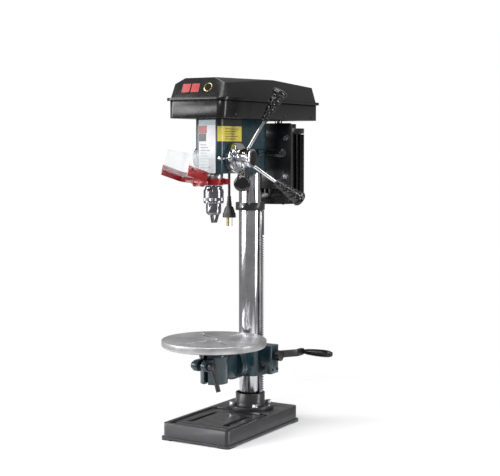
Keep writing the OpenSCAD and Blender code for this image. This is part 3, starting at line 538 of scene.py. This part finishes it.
# edge radius of each node that shows, in millimetres, by body
EDGES = {
    "base": {"base_casting": 2.2, "column_flange": 1.4, "flange_bolts": 0.7,
             "rack_collar": 1.0, "column": 0.6},
    "rack": {"rack": 0.25},
    "bracket": {"table_bracket": 2.4},
    "bracket_lever": {"bracket_lock_lever": 0.6},
    "crank": {"crank_arm": 1.2},
    "crank_grip": {"crank_grip": 0.6},
    "arm": {"table_arm": 2.2},
    "table": {"table_top": 0.5},
    "table_lever": {"table_lock_lever": 0.6},
    "head": {"head_casting": 2.0, "hood_pan": 1.6, "switch_box": 1.6, "spring_cover": 1.2,
             "cord_gland": 0.5, "cord_hook": 0.8},
    "tension_knob": {"tension_knob": 0.8},
    "motor": {"motor_plate": 1.0, "motor_housing": 0.7, "motor_bars": 0.8},
    "cover": {"hood_cover": 3.0},
    "quill": {"quill": 0.4, "guard_clamp": 0.7},
    "feed": {"feed_hub": 0.7, "feed_spokes": 0.4},
    "depth_stop": {"depth_ring": 0.7},
    "spindle": {"chuck_body": 0.5},
    "guard": {"guard_frame": 0.5, "guard_shield": 0.3},
    "start_button": {"start_button": 0.8},
    "stop_button": {"stop_button": 0.8},
}
for body, members in EDGES.items():
    for node, width in members.items():
        softened(node, body, width)


plate = bpy.data.objects["motor_plate_finished"]
plate.data.materials.append(LOOKS["zinc"].material)
for polygon in plate.data.polygons:
    if polygon.center.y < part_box("motor_plate")[0].y + 5.9 * MM:
        polygon.material_index = 1


# ---- table and base details ----

def add_tilt_scale():
    """Graduation lines round the tilt joint's flange."""
    lines = []
    for step in range(-9, 10):
        a = math.radians(step * 5)
        long = step % 3 == 0
        line = panel((-0.35, -3.2 if long else -1.6, 0), (0.35, 3.2 if long else 1.6, 0.35), axis="Z")
        turn = Matrix.Rotation(a, 4, "Y")
        centre = Matrix.Translation((0, -0.0825, 0.175))
        lines.append(moved(line, centre @ turn @ Matrix.Translation((0, 0, 0.0400))))
    place("tilt_scale_lines", mesh_of(merged(lines), "tilt_scale_lines"), "bracket", "zinc", PRINT_WHITE)


def add_base_screws():
    screws("bracket_set_screws", "bracket", "black_steel",
           [(76, -12, 152), (76, 12, 152)], (1, 0, 0), 3.2, 2.0,
           "socket")
    screws("collar_screw", "base", "zinc", [(0, -38.4, 581)], (0, -1, 0), 3.0, 1.6, "socket")


add_tilt_scale()
add_base_screws()


# ---- head details ----

def add_front_label():
    """A pale plate over the head's whole front, with plain blocks of colour and soft grey bars."""
    y = -207.0
    rounded(place("front_label", mesh_of(panel((-24.5, y - 0.5, 671), (24.5, y, 803), 1.5), "front_label"),
                  "head", "teal_iron", PRINT_WHITE), 0.15)
    band = [panel((-24.5, y - 0.7, 790), (24.5, y - 0.5, 803), 1)]
    place("front_label_top", mesh_of(merged(band), "front_label_top"), "head", "teal_iron", PRINT_BLUE)
    red = [panel((-24, y - 0.75, 770), (-1, y - 0.5, 789), 1)]
    place("front_label_red", mesh_of(merged(red), "front_label_red"), "head", "teal_iron", PRINT_RED)
    dark = [panel((-24, y - 0.75, 750), (-3, y - 0.5, 769.4), 1)]
    place("front_label_dark", mesh_of(merged(dark), "front_label_dark"), "head", "teal_iron", PRINT_DARK)
    grey = [panel((-20, y - 0.65, z), (8 - 5 * (i % 3), y - 0.5, z + 3), 1)
            for i, z in enumerate(range(684, 744, 7))]
    place("front_label_bars", mesh_of(merged(grey), "front_label_bars"), "head", "teal_iron", PRINT_GREY)


def corner_foil(depth, z0, z1, start, end):
    """A thin foil round the head's front right corner and along its side, between two heights."""
    corner = 15
    path = [(25, -192, math.radians(a)) for a in range(start, 1, 8)]
    path = [(x + math.cos(a) * corner, y + math.sin(a) * corner, math.cos(a), math.sin(a))
            for x, y, a in path]
    path.append((40, end, 1, 0))
    bm = bmesh.new()
    rows = []
    for x, y, out_x, out_y in path:
        rows.append([bm.verts.new(((x + out_x * d) * MM, (y + out_y * d) * MM, z * MM))
                     for d, z in ((0, z0), (depth, z0), (depth, z1), (0, z1))])
    for low, high in zip(rows, rows[1:]):
        for k in range(4):
            bm.faces.new((low[k], low[(k + 1) % 4], high[(k + 1) % 4], high[k]))
    bm.faces.new(rows[0])
    bm.faces.new(list(reversed(rows[-1])))
    bmesh.ops.recalc_face_normals(bm, faces=bm.faces)
    return bm


def add_side_label():
    """A yellow notice plate round the head's corner, with a dark heading and plain lines."""
    x = 40.0
    place("side_label", mesh_of(corner_foil(0.5, 750, 804, -72, -110), "side_label"), "head", "teal_iron",
          PRINT_YELLOW)
    dark = [corner_foil(0.7, 787.5, 804, -72, -110)]
    for i in range(5):
        z = 780 - 6.2 * i
        dark.append(panel((x + 0.5, -188, z), (x + 0.7, -128 - 9 * (i % 3), z + 1.4), axis="X"))
    place("side_label_marks", mesh_of(merged(dark), "side_label_marks"), "head", "teal_iron", PRINT_DARK)


def add_left_screws():
    screws("spring_cover_nut", "head", "zinc",
           [(-47.4 - 17, FEED.y / MM, FEED.z / MM)], (-1, 0, 0), 6.5, 4, "socket")
    screws("switch_box_screws", "head", "zinc",
           [(-64, -90 + 20 * s, z) for s in (-1, 1) for z in (739, 793)], (-1, 0, 0), 2.4, 1.4)


add_front_label()
add_side_label()
add_left_screws()


# ---- hood details ----

def add_hood_badge():
    """Two plain red blocks and a plain brass ring on the cover's sloping front."""
    low = Vector((0, -259, 856.5))
    top = Vector((0, -238, 905))
    up = (top - low).normalized()
    out = Vector((0, -up.z, up.y))
    slope = Matrix((Vector((1, 0, 0)), -out, up)).transposed().to_4x4()
    frame_at = Matrix.Translation((low + out * 0.1) * MM) @ slope
    blocks = [panel((x, -0.5, 14), (x + 23, 0.3, 37), 2) for x in (-45, -18)]
    badge = moved(merged(blocks), frame_at)
    rounded(
        place("hood_badge_blocks", mesh_of(badge, "hood_badge_blocks"), "cover", "red_plastic", PRINT_RED), 0.2)
    ring = lathed([(11.5, -0.3), (11.5, 0.6), (10.4, 0.9), (9.6, 0.3), (9.6, -0.3)], 48)
    at = frame_at @ Matrix.Translation((0.030, 0, 0.0265)) @ Matrix.Rotation(math.radians(90), 4, "X")
    rounded(
        place("hood_badge_ring", mesh_of(moved(ring, at), "hood_badge_ring"), "cover", "copper", BRASS_PINS), 0.1)


def add_hood_screws():
    points = [(s * 82, y, 815) for s in (-1, 1) for y in (-205, 40, 190)]
    screws("hood_screws_right", "head", "black_steel", [p for p in points if p[0] > 0], (1, 0, 0), 3.4, 1.8)
    screws("hood_screws_left", "head", "black_steel", [p for p in points if p[0] < 0], (-1, 0, 0), 3.4, 1.8)
    screws("cover_latch_screw", "cover", "black_steel", [(89, -60, 853)], (1, 0, 0), 2.6, 1.4)


add_hood_badge()
add_hood_screws()


# ---- chuck, feed and guard details ----

def add_chuck_sleeve():
    """Sleeve with a knurled grip and the ring of teeth that the key turns."""
    teeth = 24
    steps = teeth * 6

    def ripple(k, r, z):
        if 602 < z < 609:
            return -0.45 * (k % 2)
        if z <= 597 and r > 23:
            return -1.1 if (k // 3) % 2 else 0
        return 0
    profile = [(19.1, 600), (19.1, 595), (23.4, 595), (25.3, 597), (25.3, 599.5),
               (25.4, 601.5), (25.4, 602.5),
               (25.4, 608.5), (25.4, 610), (25.5, 626), (24.5, 630), (22.6, 630), (22.6, 600)]
    bm = lathed(profile, steps, ripple)
    bmesh.ops.delete(bm, geom=[f for f in bm.faces if len(f.verts) > 8], context="FACES_ONLY")
    rim = [e for e in bm.edges if e.is_boundary]
    bmesh.ops.bridge_loops(bm, edges=rim)
    bmesh.ops.recalc_face_normals(bm, faces=bm.faces)
    mesh = mesh_of(moved(bm, Matrix.Translation(SPINDLE)), "chuck_sleeve")
    return place("chuck_sleeve_finished", mesh, "chuck_sleeve", "chuck_steel", replaces=("chuck_sleeve",))


def add_key_hole_shade():
    """Three dark dishes round the chuck's nose, painted shade that stands for the depth of its key holes."""
    parts = []
    for k in range(3):
        a = math.radians(120 * k - 30)
        out = Vector((math.cos(a), math.sin(a), 0))
        hole = lathed([(4.3, 0), (4.3, 0.35), (3.6, 0.35), (3.3, 0.1), (0.01, 0.1)], 28)
        parts.append(moved(hole, axis_matrix(out, SPINDLE + out * 0.0188 + Vector((0, 0, 0.585)))))
    # painted shade: the dark dishes stand for the shade inside the key holes
    place("chuck_key_hole_shade", mesh_of(merged(parts), "chuck_key_hole_shade"), "spindle", "chuck_steel", PAINTED_HOLE_SHADE)


def add_depth_scale():
    """Graduations round the depth ring's rim."""
    lines = []
    for step in range(60):
        reach = 3.6 if step % 5 == 0 else 2.0
        line = panel((58.6 - reach, -0.22, 37.9), (58.6, 0.22, 38.06), axis="Z")
        lines.append(moved(
            line, Matrix.Translation(FEED) @ Matrix.Rotation(math.radians(6 * step), 4, "X")))
    place("depth_scale_lines", mesh_of(merged(lines), "depth_scale_lines"), "depth_stop", "black_steel", PRINT_DARK)


def add_hub_cap():
    """The dark cap in the feed hub's end."""
    cap = lathed([(18.5, 0), (18.5, 1.2), (17, 2.2), (8, 3.0), (0.01, 3.1)], 48)
    piece = place("feed_hub_cap",
                  mesh_of(moved(cap, axis_matrix((1, 0, 0), FEED + Vector((0.101, 0, 0)))), "cap"),
                  "feed", "black_plastic")
    return rounded(piece, 0.3)


def add_feed_grips():
    """Black grips with rows of moulded hollows, wider at their ends."""
    reach, across = 166.0, 92.0
    length = math.hypot(reach, across)
    start = 0.56 * length
    outline = [(start, 8), (start + 4, 9), (start + 24, 11), (length - 24, 15.3), (length - 10, 15.8),
               (length - 6, 19.2), (length - 2, 19.8), (length + 2, 17.4)]
    hollow_rows, around, depth = 5, 6, 2.4

    def radius_at(z):
        for (z0, r0), (z1, r1) in zip(outline, outline[1:]):
            if z <= z1:
                return r0 + (r1 - r0) * (z - z0) / (z1 - z0)
        return outline[-1][1]

    def hollow(angle, z):
        from_z, to_z = start + 9, length - 13
        row = (z - from_z) / (to_z - from_z) * hollow_rows
        if not 0 <= row < hollow_rows:
            return 0
        dz = (row - math.floor(row)) - 0.5
        da = (angle / (2 * math.pi) * around + 0.5 * (math.floor(row) % 2)) % 1 - 0.5
        return -depth * max(0, 1 - (dz / 0.42) ** 2 - (da / 0.34) ** 2)

    steps = 60
    heights = [start] + [start + 4 + 1.25 * k for k in range(int((length - 6 - start - 4) / 1.25))]
    heights += [length - 6, length - 4.5, length - 2, length + 1, length + 2.6]
    profile = [(radius_at(z) - (0.8 if z > length + 2 else 0), z) for z in heights] + [(9, length + 3.8)]

    def ripple(k, r, z):
        return hollow(2 * math.pi * k / steps, z)
    grips = []
    tilt = math.atan2(reach, across)
    for k in range(3):
        at = Matrix.Translation(FEED + Vector((0.071, 0, 0))) @ Matrix.Rotation(math.radians(90), 4, "Y")
        at = at @ Matrix.Rotation(math.radians(170.7 + 120 * k), 4, "Z") @ Matrix.Rotation(tilt, 4, "Y")
        grips.append(moved(lathed(profile, steps, ripple), at))
    piece = place("feed_grips_finished", mesh_of(merged(grips), "feed_grips"), "feed", "grip_plastic",
                  replaces=("feed_grips",))
    for polygon in piece.data.polygons:
        polygon.use_smooth = len(polygon.vertices) == 4


def add_guard_rivets():
    """Rivets that hold the clear shield to the guard's cheeks."""
    side = Matrix.Translation(SPINDLE + Vector((0, 0, 0.643))) @ Matrix.Rotation(math.radians(-105), 4, "Z")
    guard = side @ Matrix.Translation((0.050, 0, 0)) @ Matrix.Rotation(math.radians(-16.4), 4, "Y")
    heads = []
    for s in (-1, 1):
        for x in (0.034, 0.072):
            head = lathed([(3.2, 0), (3.2, 0.5), (2.6, 1.2), (1.2, 1.7), (0.01, 1.8)], 24)
            turn = Matrix.Rotation(math.radians(-90 * s), 4, "X")
            heads.append(moved(head, guard @ Matrix.Translation((x, s * 0.050, 0.020)) @ turn))
    piece = place("guard_rivets", mesh_of(merged(heads), "guard_rivets"), "guard", "black_steel")
    for polygon in piece.data.polygons:
        polygon.use_smooth = True


add_chuck_sleeve()
add_key_hole_shade()
add_depth_scale()
add_hub_cap()
add_feed_grips()
add_guard_rivets()


# ---- motor details ----

def add_motor_details():
    """Long screws through the motor's lower shield, and thin dark plates of painted shade where the cover's cooling
    slots are.
    """
    around = [math.radians(a) for a in (45, 135, 225, 315)]
    screws("motor_end_screws", "motor", "zinc",
           [(50 * math.cos(a), 150 + 50 * math.sin(a), 582) for a in around], (0, 0, -1), 3.4, 1.8, "socket")
    slots = []
    for step in range(12):
        slot = panel((20, -1.6, -0.25), (42, 1.6, 0), 1.5, "Z")
        turn = (Matrix.Translation(MOTOR + Vector((0, 0, 0.582)))
                @ Matrix.Rotation(math.radians(30 * step), 4, "Z"))
        slots.append(moved(slot, turn))
    # painted shade: thin dark plates stand for the shade inside the cooling slots
    place("motor_air_slot_shade", mesh_of(merged(slots), "motor_air_slot_shade"), "motor", "black_plastic", PAINTED_HOLE_SHADE)


add_motor_details()


# ---- floor, lights and world ----

def add_floor():
    """A pale floor that fades into the white backdrop away from the object."""
    bm = bmesh.new()
    bmesh.ops.create_grid(bm, x_segments=4, y_segments=4, size=3)
    floor = bpy.data.objects.new("floor", mesh_of(bm, "floor"))
    bpy.context.scene.collection.objects.link(floor)
    look = Look("pale_floor")
    look.colour(look.noise(3, 2), srgb(240, 240, 241), srgb(244, 244, 245))
    look.rough(look.noise(5, 2), 0.85, 0.95)
    reach = 0.95
    fade = look.node("ShaderNodeTexGradient", gradient_type="SPHERICAL")
    look.tree.links.new(look.mapped((1 / reach,) * 3, (0, -0.1, 0)), fade.inputs["Vector"])
    edge = look.node("ShaderNodeMapRange", interpolation_type="SMOOTHSTEP")
    edge.inputs["From Max"].default_value = 0.55
    look.tree.links.new(fade.outputs["Fac"], edge.inputs["Value"])
    look.tree.links.new(edge.outputs["Result"], look.shader.inputs["Alpha"])
    floor.data.materials.append(look.material)


def add_light(name, at, aim, size, power):
    data = bpy.data.lights.new(name, "AREA")
    data.shape = "RECTANGLE"
    data.size, data.size_y = size
    data.energy = power
    light = bpy.data.objects.new(name, data)
    bpy.context.scene.collection.objects.link(light)
    light.location = at
    light.rotation_euler = (Vector(aim) - Vector(at)).to_track_quat("-Z", "Y").to_euler()


def add_world():
    world = bpy.data.worlds.new("studio")
    world.use_nodes = True
    tree = world.node_tree
    fill = tree.nodes["Background"]
    fill.inputs["Color"].default_value = (1, 1, 1, 1)
    fill.inputs["Strength"].default_value = 0.30
    backdrop = tree.nodes.new("ShaderNodeBackground")
    backdrop.inputs["Color"].default_value = (1, 1, 1, 1)
    chosen = tree.nodes.new("ShaderNodeMixShader")
    seen = tree.nodes.new("ShaderNodeLightPath")
    tree.links.new(seen.outputs["Is Camera Ray"], chosen.inputs["Fac"])
    tree.links.new(fill.outputs["Background"], chosen.inputs[1])
    tree.links.new(backdrop.outputs["Background"], chosen.inputs[2])
    tree.links.new(chosen.outputs["Shader"], tree.nodes["World Output"].inputs["Surface"])
    bpy.context.scene.world = world


add_floor()
add_light("left_box", (-1.7, -1.3, 1.2), (0, -0.05, 0.5), (0.7, 2.2), 42)
add_light("front_box", (0.5, -2.6, 2.0), (0, -0.05, 0.5), (0.9, 0.9), 26)
add_light("front_left_box", (-1.5, -2.5, 0.95), (0, -0.05, 0.6), (1.0, 0.9), 20)
add_light("right_box", (1.9, 0.1, 1.0), (0, 0, 0.5), (0.5, 2.0), 24)
add_light("top_box", (0.1, -0.3, 2.4), (0, -0.1, 0.4), (1.6, 1.6), 36)
add_world()

view_settings = bpy.context.scene.view_settings
view_settings.view_transform = "Standard"
